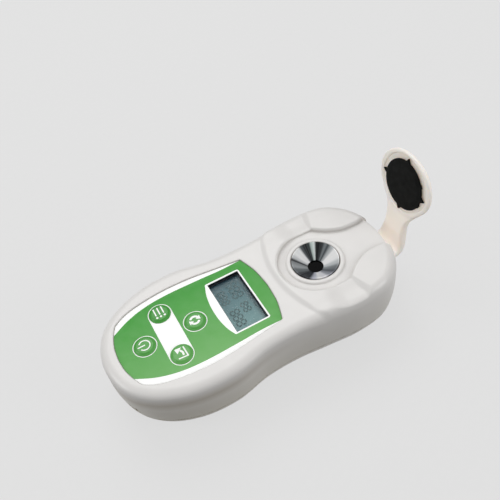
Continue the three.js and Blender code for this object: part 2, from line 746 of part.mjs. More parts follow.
function makeLidPad() {
  const { radius, z, thickness, nubReach, nubHalfWidth, nubThickness } = PAD;
  const nub = polygon([[radius - 1, -nubHalfWidth], [nubReach, 0], [radius - 1, nubHalfWidth]]);
  let pad = barZ(0, 0, z, z + thickness, radius, 44);
  for (let quarter = 0; quarter < 4; quarter += 1) {
    pad = pad.add(prismZ(nub, z, z + nubThickness).rotate([0, 0, 90 * quarter]));
  }
  return pad.translate([LID.headX, 0, 0]);
}

// -------------------------------------------------------------------- assembly

function finish(color, roughness, metalness = 0) {
  return new THREE.MeshStandardMaterial({ color, roughness, metalness });
}

const white = finish(0xe9e7e3, 0.35);
const cream = finish(0xf1ebe1, 0.4);
const labelGreen = finish(0x45a63c, 0.45);
const keyGreen = finish(0x3f9f38, 0.4);
const blackRubber = finish(0x1b1c1b, 0.8);
const greyRubber = finish(0x4b4d4f, 0.8);
const steel = finish(0xc9ccce, 0.2, 1);
const darkGlass = finish(0x0c0d10, 0.08);
const clearPlastic = finish(0xbfd0d0, 0.1);
const displayGlass = finish(0x5f8386, 0.25);
const boardGreen = finish(0x1f5a35, 0.5);
const blackPlastic = finish(0x222326, 0.6);
const nickel = finish(0xb9b6ad, 0.3, 1);
const cellWrap = finish(0x2e3136, 0.35);

const refractometer = new THREE.Group();
const lid = new THREE.Group();
lid.position.set(HINGE.x, 0, HINGE.z);
lid.rotation.y = LID_OPEN_ANGLE;
refractometer.add(lid);

function place(name, solid, material, parent = refractometer) {
  const mesh = new THREE.Mesh(toGeometry(solid), material);
  mesh.name = name;
  parent.add(mesh);
}

place("top_shell", makeTopShell(), white);
place("bottom_shell", makeBottomShell(), white);
place("case_gasket", gasketRing(0, PARTING_Z - GASKET.depth + SLIP, PARTING_Z - SLIP), greyRubber);
place("battery_door", makeBatteryDoor(), white);
place("graphic_label", makeLabel(), labelGreen);
place("display_window", makeLens(), clearPlastic);
place("lcd_panel", box(PANEL.x0, PANEL.x1, -PANEL.y, PANEL.y, PANEL.z0, PANEL.z1), displayGlass);
const { width: stripWidth, sideInset } = CONTACT_STRIP;
place("lcd_connector_rear", makeContactStrip(PANEL.x0 + sideInset), greyRubber);
place("lcd_connector_front", makeContactStrip(PANEL.x1 - sideInset - stripWidth), greyRubber);
place("main_board", makeMainBoard(), boardGreen);
for (const [key, [x, y]] of Object.entries(KEYS)) {
  place(`key_${key}`, makeKey(x, y), keyGreen);
  place(`key_switch_${key}`, makeSwitch(x, y), blackPlastic);
}
place("sample_cup", makeCup(), steel);
place("cup_seal", makeCupSeal(), blackRubber);
place("measuring_prism", makePrism(), darkGlass);
place("optics_block", makeOpticsBlock(), blackPlastic);
place("lamp", makeLamp(), clearPlastic);
place("focus_lens", makeFocusLens(), clearPlastic);
place("detector_board", makeDetectorBoard(), boardGreen);
place("detector", makeDetector(), blackPlastic);
place("sensor_flex", makeSensorFlex(), nickel);
place("temperature_sensor", makeTemperatureSensor(), blackPlastic);
place("battery_left", makeCell(CELL.y, true), cellWrap);
place("battery_right", makeCell(-CELL.y, false), cellWrap);
const leftContact = [CELL.y - CONTACT.halfWidth, CELL.y + CONTACT.halfWidth];
const rightContact = leftContact.map((y) => y - 2 * CELL.y);
place("contact_bridge", makeContactPlate(CONTACT.frontX, -BRIDGE_HALF_WIDTH, BRIDGE_HALF_WIDTH), nickel);
place("contact_positive", makeContactPlate(CONTACT.rearX, ...leftContact), nickel);
place("contact_negative", makeContactPlate(CONTACT.rearX, ...rightContact), nickel);
place("contact_spring_left", makeSpring(SPRING_ENDS.left, CELL.y), nickel);
place("contact_spring_right", makeSpring(SPRING_ENDS.right, -CELL.y), nickel);
for (const [corner, [x, y]] of Object.entries(SCREWS)) {
  place(`case_screw_${corner}`, makeScrew(x, y), steel);
}
place("hinge_pin", hingePin(0), steel);
place("strap_bar", strapBar(0), steel);
place("lid_cover", makeLidCover(), cream, lid);
place("lid_pad", makeLidPad(), blackRubber, lid);

export default refractometer;
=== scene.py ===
"""Looks of a pocket refractometer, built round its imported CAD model.

Lengths in the shape code are millimetres in the CAD frame; meshes are scaled to metres as they are made.
"""

import math

import bmesh
import bpy
import numpy as np
from mathutils import Matrix, Vector


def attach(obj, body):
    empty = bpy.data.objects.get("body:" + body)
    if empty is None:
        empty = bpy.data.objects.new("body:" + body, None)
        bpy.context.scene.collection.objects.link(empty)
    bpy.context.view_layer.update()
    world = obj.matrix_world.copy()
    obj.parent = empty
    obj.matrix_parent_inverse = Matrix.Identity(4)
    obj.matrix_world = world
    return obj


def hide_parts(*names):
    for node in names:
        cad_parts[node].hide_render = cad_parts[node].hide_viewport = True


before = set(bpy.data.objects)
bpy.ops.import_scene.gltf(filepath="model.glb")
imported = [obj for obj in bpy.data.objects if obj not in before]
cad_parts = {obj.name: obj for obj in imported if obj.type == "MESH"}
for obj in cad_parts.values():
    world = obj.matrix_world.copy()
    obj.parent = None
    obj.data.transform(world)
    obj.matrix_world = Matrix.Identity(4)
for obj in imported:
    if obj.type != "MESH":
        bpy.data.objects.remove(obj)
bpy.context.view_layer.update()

MM = 0.001
FAR = 90.0

# casing, as in the CAD model
LENGTH = 135.0
DECK_Z, PLATFORM_Z, PARTING_Z = 32.7, 33.8, 10.0
TOP_INSET, TOP_HEIGHT = 4.4, 3.2
LOWER_INSET, LOWER_HEIGHT = 9.7, 24.0
WALL = 2.2
HALF_WIDTHS = [
    (0.025, 14.2), (0.09, 23.6), (0.2, 29.9), (0.33, 31.1), (0.45, 27.8),
    (0.56, 27.2), (0.67, 28.5), (0.79, 29.5), (0.9, 26.7), (0.975, 15.8),
]
KEYS = {"power": (-49.0, 0.0), "cycle": (-26.0, 0.0), "list": (-37.4, 11.7), "export": (-37.4, -11.7)}
LABEL_END = [(-60.7, 0), (-60.2, 6), (-58.4, 11.9), (-56.3, 16.1)]
LABEL_SIDE = [(-56.3, 16.1), (-51.3, 19), (-43.7, 21), (-32, 22.3), (-20, 22.1), (-9.7, 20.9), (5.1, 19)]
LABEL_HEAD = [(5.1, 19), (6.4, 15), (7.9, 9), (8.6, 0)]
GREEN_SIDE = [
    (-58.4, 11.9), (-50.5, 16.0), (-41.0, 18.7), (-30.0, 19.6), (-16.0, 19.3), (-5.0, 18.8), (5.1, 19),
]
STEP_CENTRE_X, STEP_RADIUS, STEP_WIDTH = 64.3, 52, 3.2
HEAD_EXTRA_ROUNDING = 3.0
LABEL_Z = 32.1
WINDOW = (-13.5, 1.3, 14.4)
WELL_X = 32.8
CHANNEL = [(40.5, 16.4), (43.5, 13.6), (47.1, 11.1), (52, 8.9), (56, 8.2), (60, 8.1), (64, 8.7), (70, 9.2)]
SCREWS = [(-22, 17.5), (-22, -17.5), (46, 15), (46, -15)]
HINGE = (63.9, 23.6)
LID_OPEN = math.radians(98)
PAD_X = WELL_X - HINGE[0]


# ------------------------------------------------------------------ curves

def spline(points, count):
    """Points along a uniform Catmull-Rom curve through the given ones."""
    p = np.array(points, float)
    at = np.linspace(0, len(p) - 1, count + 1)
    i = np.minimum(at.astype(int), len(p) - 2)
    t = (at - i)[:, None]
    last = len(p) - 1
    p0, p1, p2, p3 = p[np.where(i == 0, i, i - 1)], p[i], p[i + 1], p[np.where(i > last - 2, last, i + 2)]
    v0, v1 = (p2 - p0) / 2, (p3 - p1) / 2
    return (2 * p1 - 2 * p2 + v0 + v1) * t**3 + (-3 * p1 + 3 * p2 - 2 * v0 - v1) * t**2 + v0 * t + p1


def mirrored(half):
    """Closed outline from its +Y half."""
    half = [tuple(p) for p in half]
    return np.array(half + [(x, -y) for x, y in reversed(half) if y > 1e-6])


def centripetal_loop(points, per_span):
    """Closed centripetal Catmull-Rom curve."""
    p = np.array(points, float)
    n, out = len(p), []
    for i in range(n):
        a, b, c, d = p[i - 1], p[i], p[(i + 1) % n], p[(i + 2) % n]
        d0, d1, d2 = (max(np.linalg.norm(q), 1e-6) ** 0.5 for q in (b - a, c - b, d - c))
        t1 = ((b - a) / d0 - (c - a) / (d0 + d1) + (c - b) / d1) * d1
        t2 = ((c - b) / d1 - (d - b) / (d1 + d2) + (d - c) / d2) * d1
        t = np.arange(per_span)[:, None] / per_span
        out.append((2 * b - 2 * c + t1 + t2) * t**3 + (-3 * b + 3 * c - 2 * t1 - t2) * t**2 + t1 * t + b)
    return np.concatenate(out)


def circle(x, y, radius, count=72, start=0.0, stop=360.0, close=True):
    angles = np.radians(np.linspace(start, stop, count, endpoint=not close))
    return np.stack([x + radius * np.cos(angles), y + radius * np.sin(angles)], 1)


class Plan:
    """Signed distance to a closed outline, negative inside, looked up in a table."""

    def __init__(self, outline, margin=7.0, cell=0.5):
        a = np.asarray(outline, float)
        b = np.roll(a, -1, 0)
        self.low, self.cell = a.min(0) - margin, cell
        size = np.ceil((a.max(0) + margin - self.low) / cell).astype(int) + 1
        x, y = (self.low[k] + cell * np.arange(size[k]) for k in (0, 1))
        p = np.stack(np.meshgrid(x, y, indexing="ij"), -1).reshape(-1, 1, 2)
        best, crossings = np.full(len(p), 1e9), np.zeros(len(p), int)
        for s in range(0, len(a), 60):
            q, r = a[None, s:s + 60], b[None, s:s + 60]
            e = r - q
            t = np.clip(((p - q) * e).sum(-1) / np.maximum((e * e).sum(-1), 1e-12), 0, 1)
            best = np.minimum(best, (((p - q) - t[..., None] * e) ** 2).sum(-1).min(1))
            spans = (q[..., 1] > p[..., 1]) != (r[..., 1] > p[..., 1])
            height = np.where(e[..., 1] == 0, 1e-12, e[..., 1])
            rise = (p[..., 1] - q[..., 1]) / height
            crossings += (spans & (p[..., 0] < q[..., 0] + rise * e[..., 0])).sum(1)
        distance = np.sqrt(best) * np.where(crossings % 2 == 1, -1, 1)
        self.table = distance.reshape(size).astype(np.float32)

    def __call__(self, x, y):
        u = np.clip((x - self.low[0]) / self.cell, 0, self.table.shape[0] - 1.001)
        v = np.clip((y - self.low[1]) / self.cell, 0, self.table.shape[1] - 1.001)
        u, v = np.broadcast_arrays(u, v)
        i, j = u.astype(int), v.astype(int)
        u, v = u - i, v - j
        t = self.table
        return (
            t[i, j] * (1 - u) * (1 - v) + t[i + 1, j] * u * (1 - v)
            + t[i, j + 1] * (1 - u) * v + t[i + 1, j + 1] * u * v
        )


# ------------------------------------------------- solid shapes as fields

def smax(a, b, k):
    """The larger of two fields, with the edge between them rounded over about k."""
    return np.maximum(a, b) + np.maximum(k - np.abs(a - b), 0) ** 2 / (4 * k)


def smin(a, b, k):
    return -smax(-a, -b, k)


def smoothstep(t):
    t = np.clip(t, 0, 1)
    return t * t * (3 - 2 * t)


def block(x, y, z, x0, x1, half_y, z0, z1):
    return np.maximum(np.maximum(np.maximum(x0 - x, x - x1), np.abs(y) - half_y), np.maximum(z0 - z, z - z1))


def polygonise(field, low, high, step):
    """Vertices and quads of the surface where the field is zero."""
    axes = [np.arange(low[k], high[k] + step, step, dtype=np.float32) for k in range(3)]
    grids = axes[0][:, None, None], axes[1][None, :, None], axes[2][None, None, :]
    size = tuple(len(a) for a in axes)
    value = np.ascontiguousarray(np.broadcast_to(field(*grids), size), dtype=np.float32)
    inside = value < 0
    corners = [(i, j, k) for i in (0, 1) for j in (0, 1) for k in (0, 1)]
    count = sum(
        inside[i:size[0] - 1 + i, j:size[1] - 1 + j, k:size[2] - 1 + k].astype(np.int8) for i, j, k in corners
    )
    cells = np.argwhere((count > 0) & (count < 8))
    index = np.full(count.shape, -1, np.int64)
    index[tuple(cells.T)] = np.arange(len(cells))
    total, hits = np.zeros((len(cells), 3)), np.zeros(len(cells))
    faces = []
    for axis in range(3):
        u, v = [k for k in range(3) if k != axis]
        unit = np.eye(3, dtype=int)
        for du in (0, 1):
            for dv in (0, 1):
                a = cells + du * unit[u] + dv * unit[v]
                b = a + unit[axis]
                va, vb = value[tuple(a.T)], value[tuple(b.T)]
                crossing = (va < 0) != (vb < 0)
                t = va / np.where(crossing, va - vb, 1)
                total += np.where(crossing[:, None], a + t[:, None] * unit[axis], 0)
                hits += crossing
        first = np.take(inside, range(size[axis] - 1), axis)
        second = np.take(inside, range(1, size[axis]), axis)
        nodes = np.argwhere(first != second)
        nodes = nodes[(nodes[:, u] > 0) & (nodes[:, v] > 0)]
        nodes = nodes[(nodes[:, u] < size[u] - 1) & (nodes[:, v] < size[v] - 1)]
        ring = [nodes, nodes - unit[u], nodes - unit[u] - unit[v], nodes - unit[v]]
        quad = np.stack([index[tuple(r.T)] for r in ring], 1)
        outward = inside[tuple(nodes.T)] == (axis != 1)
        faces.append(np.where(outward[:, None], quad, quad[:, ::-1]))
    points = total / hits[:, None] * step + np.array(low)
    return settle(field, points, step), np.concatenate(faces)


def slope(field, p, h):
    """Gradient of the field at the points."""
    out = []
    for k in range(3):
        d = np.zeros(3)
        d[k] = h
        out.append((field(*(p + d).T) - field(*(p - d).T)) / (2 * h))
    return np.stack(out, 1)


def settle(field, points, step):
    """Moves points onto the surface, at most a third of a cell at a time."""
    for _ in range(3):
        g = slope(field, points, 0.06)
        move = -field(*points.T)[:, None] * g / np.maximum((g * g).sum(1), 0.05)[:, None]
        length = np.linalg.norm(move, axis=1, keepdims=True)
        points = points + move * np.minimum(1, step / 3 / np.maximum(length, 1e-9))
    return points


# ------------------------------------------------------------ mesh building

def add_object(name, mesh, material, body, replaces=()):
    piece = bpy.data.objects.new(name, mesh)
    bpy.context.scene.collection.objects.link(piece)
    if material is not None:
        mesh.materials.append(material)
    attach(piece, body)
    if replaces:
        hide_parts(*replaces)
    return piece


def new_mesh(name, points, faces, smooth=True):
    mesh = bpy.data.meshes.new(name)
    corners = (np.asarray(points) * MM).tolist()
    mesh.from_pydata(corners, [], np.asarray(faces).tolist() if len(faces) else [])
    mesh.validate()
    if smooth:
        mesh.shade_smooth()
    return mesh


def applied(mesh, modifiers):
    """The mesh after some modifiers, given as (type, settings)."""
    holder = bpy.data.objects.new("holder", mesh)
    bpy.context.scene.collection.objects.link(holder)
    for kind, settings in modifiers:
        modifier = holder.modifiers.new(kind, kind)
        for key, value in settings.items():
            setattr(modifier, key, value)
    graph = bpy.context.evaluated_depsgraph_get()
    made = bpy.data.meshes.new_from_object(holder.evaluated_get(graph))
    bpy.data.objects.remove(holder)
    return made


def shaped(name, field, low, high, step, keep, place=None):
    """Mesh of a field, thinned to the share keep, with normals from the field itself."""
    points, faces = polygonise(field, low, high, step)
    thinning = {"ratio": keep, "use_collapse_triangulate": True}
    mesh = applied(new_mesh(name, points, faces), [("DECIMATE", thinning)])
    mesh.name = name
    co = np.zeros(len(mesh.vertices) * 3)
    mesh.vertices.foreach_get("co", co)
    co = co.reshape(-1, 3) / MM
    normals = slope(field, co, step * 0.6)
    normals /= np.maximum(np.linalg.norm(normals, axis=1, keepdims=True), 1e-9)
    if place is not None:
        rotation, shift = place
        normals = normals @ rotation.T
        co = co @ rotation.T + shift
    mesh.vertices.foreach_set("co", (co * MM).ravel())
    mesh.shade_smooth()
    mesh.normals_split_custom_set_from_vertices(normals.tolist())
    mesh.update()
    return mesh


def turned(name, profile, x, y, segments=96):
    """Closed ring or solid turned about a vertical axis, from (radius, z) points."""
    angles = np.linspace(0, 2 * math.pi, segments, endpoint=False)
    points = [
        (x + r * math.cos(a), y + r * math.sin(a), z) for r, z in profile for a in angles
    ]
    rows = len(profile)
    faces = []
    for i in range(rows):
        j = (i + 1) % rows
        if profile[i][0] < 1e-6 and profile[j][0] < 1e-6:
            continue
        for s in range(segments):
            t = (s + 1) % segments
            faces.append((i * segments + s, i * segments + t, j * segments + t, j * segments + s))
    mesh = new_mesh(name, points, faces)
    tidy = bmesh.new()
    tidy.from_mesh(mesh)
    bmesh.ops.remove_doubles(tidy, verts=tidy.verts, dist=1e-7)
    bmesh.ops.recalc_face_normals(tidy, faces=tidy.faces)
    tidy.to_mesh(mesh)
    tidy.free()
    return mesh


def plate_mesh(name, loops, z0, z1):
    """Flat plate from outlines in plan; an outline inside another is a hole."""
    curve = bpy.data.curves.new(name, "CURVE")
    curve.dimensions, curve.fill_mode, curve.extrude = "2D", "BOTH", (z1 - z0) / 2
    for loop in loops:
        line = curve.splines.new("POLY")
        line.points.add(len(loop) - 1)
        line.points.foreach_set("co", np.array([(x, y, 0, 1) for x, y in loop], np.float32).ravel())
        line.use_cyclic_u = True
    holder = bpy.data.objects.new(name, curve)
    bpy.context.scene.collection.objects.link(holder)
    graph = bpy.context.evaluated_depsgraph_get()
    mesh = bpy.data.meshes.new_from_object(holder.evaluated_get(graph))
    bpy.data.objects.remove(holder)
    bpy.data.curves.remove(curve)
    mesh.transform(Matrix.Diagonal((MM, MM, MM, 1)) @ Matrix.Translation((0, 0, (z0 + z1) / 2)))
    tidy = bmesh.new()
    tidy.from_mesh(mesh)
    bmesh.ops.remove_doubles(tidy, verts=tidy.verts, dist=2e-6)
    bmesh.ops.recalc_face_normals(tidy, faces=tidy.faces)
    tidy.to_mesh(mesh)
    tidy.free()
    return mesh


def stroke(points, width):
    """Outline of a line of the given width with square ends."""
    p = np.array(points, float)
    d = np.gradient(p, axis=0)
    d /= np.linalg.norm(d, axis=1, keepdims=True)
    n = np.stack([-d[:, 1], d[:, 0]], 1) * width / 2
    return np.concatenate([p + n, (p - n)[::-1]])


# ---------------------------------------------------------------- materials

def linear(hex_colour):
    parts = [int(hex_colour[k:k + 2], 16) / 255 for k in (0, 2, 4)]
    return [c / 12.92 if c <= 0.04045 else ((c + 0.055) / 1.055) ** 2.4 for c in parts] + [1.0]


class Finish:
    """Procedural material: colour mottling, fine grain and uneven roughness over a base."""

    def __init__(
        self, name, colour, second, roughness, spread=0.06, patch=90.0, grain=1800.0, bump=0.04, **sockets
    ):
        self.material = bpy.data.materials.new(name)
        self.material.use_nodes = True
        self.tree = self.material.node_tree
        self.shader = self.tree.nodes["Principled BSDF"]
        self.place = self.node("ShaderNodeTexCoord").outputs["Object"]
        for key, value in sockets.items():
            self.shader.inputs[key.replace("_", " ")].default_value = value
        broad = self.noise(patch, 3.0)
        self.colour = self.mix(broad, linear(colour), linear(second))
        self.join(self.colour, self.shader.inputs["Base Color"])
        fine = self.noise(grain, 2.0)
        span = self.ranged(self.noise(patch * 4, 4.0), 0.3, 0.7, roughness - spread, roughness + spread)
        self.join(span, self.shader.inputs["Roughness"])
        raised = self.node("ShaderNodeBump")
        raised.inputs["Strength"].default_value = bump
        raised.inputs["Distance"].default_value = 0.0002
        self.join(fine, raised.inputs["Height"])
        self.join(raised.outputs["Normal"], self.shader.inputs["Normal"])

    def node(self, kind, **settings):
        made = self.tree.nodes.new(kind)
        for key, value in settings.items():
            setattr(made, key, value)
        return made

    def join(self, out, socket):
        self.tree.links.new(out, socket)

    def noise(self, scale, detail, place=None):
        made = self.node("ShaderNodeTexNoise")
        made.inputs["Scale"].default_value = scale
        made.inputs["Detail"].default_value = detail
        self.join(place or self.place, made.inputs["Vector"])
        return made.outputs["Fac"]

    def ranged(self, value, a, b, low, high):
        made = self.node("ShaderNodeMapRange")
        for k, number in zip(("From Min", "From Max", "To Min", "To Max"), (a, b, low, high)):
            made.inputs[k].default_value = number
        self.join(value, made.inputs["Value"])
        return made.outputs["Result"]

    def mix(self, factor, first, second):
        made = self.node("ShaderNodeMix", data_type="RGBA")
        for socket, value in ((made.inputs[0], factor), (made.inputs[6], first), (made.inputs[7], second)):
            if isinstance(value, bpy.types.NodeSocket):
                self.join(value, socket)
            else:
                socket.default_value = value
        return made.outputs[2]

    def math(self, operation, a, b=None):
        made = self.node("ShaderNodeMath", operation=operation)
        for socket, value in zip(made.inputs, (a, b)):
            if isinstance(value, bpy.types.NodeSocket):
                self.join(value, socket)
            elif value is not None:
                socket.default_value = value
        return made.outputs[0]

    def axis(self, k):
        made = self.node("ShaderNodeSeparateXYZ")
        self.join(self.place, made.inputs[0])
        return made.outputs[k]

    def crevice_shade(self, tint, distance, strength):
        """Paints shade into the base colour in grooves and inner corners, where an ambient occlusion node
        finds them.
        """
        made = self.node("ShaderNodeAmbientOcclusion", samples=6)
        made.inputs["Distance"].default_value = distance
        depth = self.ranged(made.outputs["AO"], 0.25, 0.85, strength, 0.0)
        self.recolour(self.mix(depth, self.colour, linear(tint)))

    def recolour(self, out):
        self.join(out, self.shader.inputs["Base Color"])
        self.colour = out


casing_white = Finish("casing white", "eae8e6", "e5e3e1", 0.32, spread=0.03, grain=600.0, bump=0.012)
seam = casing_white.ranged(
    casing_white.math("ABSOLUTE", casing_white.math("SUBTRACT", casing_white.axis(2), PARTING_Z * MM)),
    0.00008, 0.0003, 0.72, 0.0,
)
casing_white.recolour(casing_white.mix(seam, casing_white.colour, linear("8d877c")))
# Painted shade: a dark warm band just under the rounded top edge, 25.2 mm up, strongest towards the keypad
# end.
RIM_SHADE_Z = 0.0252
rim_shade_distance = casing_white.math("ABSOLUTE", casing_white.math("SUBTRACT", casing_white.axis(2), RIM_SHADE_Z))
casing_white.recolour(casing_white.mix(
    casing_white.math(
        "MULTIPLY", casing_white.ranged(rim_shade_distance, 0.0, 0.004, 0.5, 0.0),
        casing_white.ranged(casing_white.axis(0), -0.03, 0.012, 1.0, 0.0),
    ), casing_white.colour, linear("8f8068")))
# Painted shade: the side grows darker and warmer towards the bottom, most at the keypad end.
casing_white.recolour(casing_white.mix(
    casing_white.math(
        "MULTIPLY", casing_white.ranged(casing_white.axis(2), 0.002, 0.031, 0.95, 0.0),
        casing_white.ranged(casing_white.axis(0), -0.055, 0.03, 1.0, 0.5),
    ), casing_white.colour, linear("b3a88a")))
# Painted shade in the casing's grooves and inner corners.
casing_white.crevice_shade("66523c", 0.0034, 1.0)
# The lid's weak emission is painted light, a glow over the whole cream shell; the subsurface scattering is
# its real translucency.
lid_cream = Finish(
    "lid cream", "fbf3ec", "f6ebe1", 0.42, spread=0.04, grain=600.0, bump=0.012,
    Subsurface_Weight=0.5, Subsurface_Radius=(0.006, 0.0045, 0.003), Subsurface_Scale=1.0,
    Emission_Color=(1.0, 0.91, 0.84, 1), Emission_Strength=0.13,
)
# Painted shade in the lid's grooves and inner corners.
lid_cream.crevice_shade("d6c2ae", 0.003, 0.45)
# The label's weak emission is painted light, a glow that keeps the printed white bright.
label_white = Finish(
    "label white", "ffffff", "fbfcfa", 0.42, spread=0.05, bump=0.03, grain=3200,
    Emission_Color=(1, 1, 1, 1), Emission_Strength=0.1,
)
label_green = Finish("label green", "32a126", "29961d", 0.45, spread=0.06, bump=0.04, grain=1200.0)
key_green = Finish("key green", "3a9e30", "308f28", 0.36, spread=0.05, bump=0.02, grain=1200.0)
# Painted sheen: the green is lighter towards the near side and the keypad end.
for paler, share in ((label_green, 0.75), (key_green, 0.6)):
    painted_sheen = paler.ranged(paler.axis(1), -0.02, 0.016, share, 0.0)
    keypad_end = paler.ranged(paler.axis(0), -0.02, 0.008, 1.0, 0.55)
    share_here = paler.math("MULTIPLY", painted_sheen, keypad_end)
    paler.recolour(paler.mix(share_here, paler.colour, linear("7bbd6c")))
# The icons' weak emission is painted light, a glow that keeps the white marks bright.
icon_white = Finish(
    "icon white", "ffffff", "f6f8f5", 0.42, spread=0.05, bump=0.02,
    Emission_Color=(1, 1, 1, 1), Emission_Strength=0.08,
)
rubber = Finish(
    "rubber black", "121312", "0b0c0b", 0.8, spread=0.08, bump=0.14, grain=2600, Specular_IOR_Level=0.15,
)
rubber_grey = Finish("rubber grey", "4b4d4f", "3f4143", 0.7, spread=0.08, bump=0.16)
dark_plastic = Finish("plastic black", "26272a", "1b1c1e", 0.5, spread=0.1, bump=0.1)
# Near-black frame round the display: a dark bezel, whose near-black also stands in for the shade inside the
# window's recess.
surround = Finish("display surround", "1c2130", "141824", 0.5, spread=0.06, bump=0.06)
lcd_glass = Finish("display glass", "47767e", "406d75", 0.3, spread=0.03, bump=0.01)
lcd_ghost = Finish("display ghost marks", "46696b", "3f6062", 0.3, spread=0.03, bump=0.01)
# Painted light on the display: lighter towards the near side.
near_part = lcd_glass.ranged(lcd_glass.axis(1), -0.015, 0.006, 0.75, 0.0)
lcd_glass.recolour(lcd_glass.mix(near_part, lcd_glass.colour, linear("8ab6b5")))
# Painted shadow along the far and head-side edges of the display, where the window's walls shade it.
far_edge = lcd_glass.ranged(lcd_glass.axis(1), 0.0095, 0.0142, 0.0, 0.75)
head_edge = lcd_glass.ranged(lcd_glass.axis(0), -0.0012, 0.0010, 0.0, 0.7)
shaded_edge = lcd_glass.math("MAXIMUM", far_edge, head_edge)
lcd_glass.recolour(lcd_glass.mix(shaded_edge, lcd_glass.colour, linear("1f2a3c")))
clear = Finish(
    "clear plastic", "1b2326", "161d20", 0.06, spread=0.02, bump=0.005, Alpha=0.05, Specular_IOR_Level=0.15,
)
lens_clear = Finish("lens acrylic", "dfe8e8", "d5dfdf", 0.08, spread=0.03, bump=0.005, Alpha=0.35)
prism_glass = Finish(
    "prism glass", "040405", "020202", 0.25, spread=0.02, bump=0.0, Specular_IOR_Level=0.03,
)
steel = Finish("steel", "d3d6d8", "bfc3c6", 0.2, spread=0.06, bump=0.05, Metallic=1.0)
nickel = Finish("nickel", "c4bfae", "a9a493", 0.3, spread=0.08, bump=0.08, Metallic=1.0)
board = Finish("circuit board", "1f6238", "174d2c", 0.45, spread=0.08, bump=0.08)
wrap = Finish("cell wrap", "33373d", "26292e", 0.32, spread=0.06, bump=0.05)

# turned steel of the cup with a painted reflection: bright and dark sectors with fine rays between them
chrome = Finish(
    "cup steel", "e6e8ea", "cfd3d6", 0.2, spread=0.03, bump=0.01, grain=600.0,
    Metallic=0.25, Specular_IOR_Level=0.2,
)
east = chrome.math("SUBTRACT", chrome.axis(0), WELL_X * MM)
bearing = chrome.math("ARCTAN2", chrome.axis(1), east)
ring_place = chrome.node("ShaderNodeCombineXYZ")
chrome.join(chrome.math("COSINE", bearing), ring_place.inputs[0])
chrome.join(chrome.math("SINE", bearing), ring_place.inputs[1])
turn_share = chrome.ranged(bearing, -math.pi, math.pi, 0.0, 1.0)
reflection_wheel = chrome.node("ShaderNodeValToRGB")
chrome.join(turn_share, reflection_wheel.inputs[0])
reflection_wheel.color_ramp.interpolation = "EASE"
# Painted reflection: bearing round the well in degrees and the tone reflected there.
REFLECTION_SECTORS = [
    (0, "ffffff"), (12, "b9bdbf"), (24, "4c5255"), (31, "7b8184"), (40, "1c2022"), (56, "0c0e0f"),
    (62, "e8f0ee"), (69, "c4d2ce"), (76, "32393a"), (88, "17191b"), (98, "4d5356"), (107, "f4f5f6"),
    (122, "fbfcfc"), (135, "d9dcde"), (146, "121314"), (152, "8a8e90"), (166, "a4a8aa"), (184, "666b6e"),
    (200, "24272d"), (222, "23262e"), (236, "c8cad6"), (248, "ffffff"), (262, "f4f4fa"), (276, "9a9da6"),
    (290, "54585e"), (306, "7c8184"), (322, "cdd1d3"), (340, "ffffff"),
]
ramp = reflection_wheel.color_ramp.elements
for bearing_deg, tone in sorted((((b + 180) % 360) / 360, t) for b, t in REFLECTION_SECTORS):
    ramp.new(bearing_deg).color = linear(tone)
ramp.remove(ramp[0])
ramp[len(ramp) - 1].color = ramp[0].color
# Fine rays of the painted reflection between the sectors.
reflection_rays = chrome.ranged(chrome.noise(14.0, 3.0, ring_place.outputs[0]), 0.35, 0.65, 0.0, 0.14)
chrome.recolour(chrome.mix(reflection_rays, reflection_wheel.outputs[0], linear("a3a7aa")))

NODE_FINISHES = {
    "case_gasket": rubber_grey, "display_window": clear, "lcd_panel": lcd_glass,
    "lcd_connector_rear": rubber_grey, "lcd_connector_front": rubber_grey, "main_board": board,
    "cup_seal": rubber, "measuring_prism": prism_glass, "optics_block": dark_plastic, "lamp": lens_clear,
    "focus_lens": lens_clear, "detector_board": board, "detector": dark_plastic, "sensor_flex": nickel,
    "temperature_sensor": dark_plastic, "battery_left": wrap, "battery_right": wrap,
    "contact_bridge": nickel, "contact_positive": nickel, "contact_negative": nickel,
    "contact_spring_left": nickel, "contact_spring_right": nickel, "hinge_pin": steel, "strap_bar": steel,
}
for key in KEYS:
    NODE_FINISHES["key_switch_" + key] = dark_plastic
for corner in ("rear_left", "rear_right", "front_left", "front_right"):
    NODE_FINISHES["case_screw_" + corner] = steel
for node, finish in NODE_FINISHES.items():
    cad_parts[node].data.materials.clear()
    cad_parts[node].data.materials.append(finish.material)


# ------------------------------------------------------------------- casing

stations = [((part - 0.5) * LENGTH, width) for part, width in HALF_WIDTHS]
half = [(-LENGTH / 2, 0)] + stations + [(LENGTH / 2, 0)]
outline = Plan(centripetal_loop(mirrored(half), 10))
label_end = spline(LABEL_END, 12)
label_side = spline(LABEL_SIDE, 36)
label_head = spline(LABEL_HEAD, 12)
label_loop = mirrored(np.concatenate([label_end, label_side[1:], label_head[1:]]))
label_plan = Plan(label_loop, margin=3.0)
channel_curve = spline(CHANNEL, 60)


def rounded(u, t, inset, height):
    """Vertical side that rounds over into a flat face: u is the depth in the side, t in the face."""
    return height * (np.hypot(np.maximum(inset - u, 0) / inset, np.maximum(height - t, 0) / height) - 1)


def casing_form(x, y, z):
    u = -outline(x, y)
    lower = rounded(u, z, LOWER_INSET, LOWER_HEIGHT) * LOWER_INSET / LOWER_HEIGHT
    beyond_step = STEP_RADIUS - np.hypot(x - STEP_CENTRE_X, y)
    top = DECK_Z + (PLATFORM_Z - DECK_Z) * smoothstep((beyond_step + 0.4) / STEP_WIDTH)
    height = TOP_HEIGHT + HEAD_EXTRA_ROUNDING * smoothstep((x - 4) / 30)
    return np.maximum(lower, rounded(u, top - z, TOP_INSET, height) * TOP_HEIGHT / height)


HOLLOW_FLOOR, HOLLOW_INSET, HOLLOW_HEIGHT = 2.4, 9.0, 21.6
CEILING_Z, CEILING_DROP = 30.3, 1.9


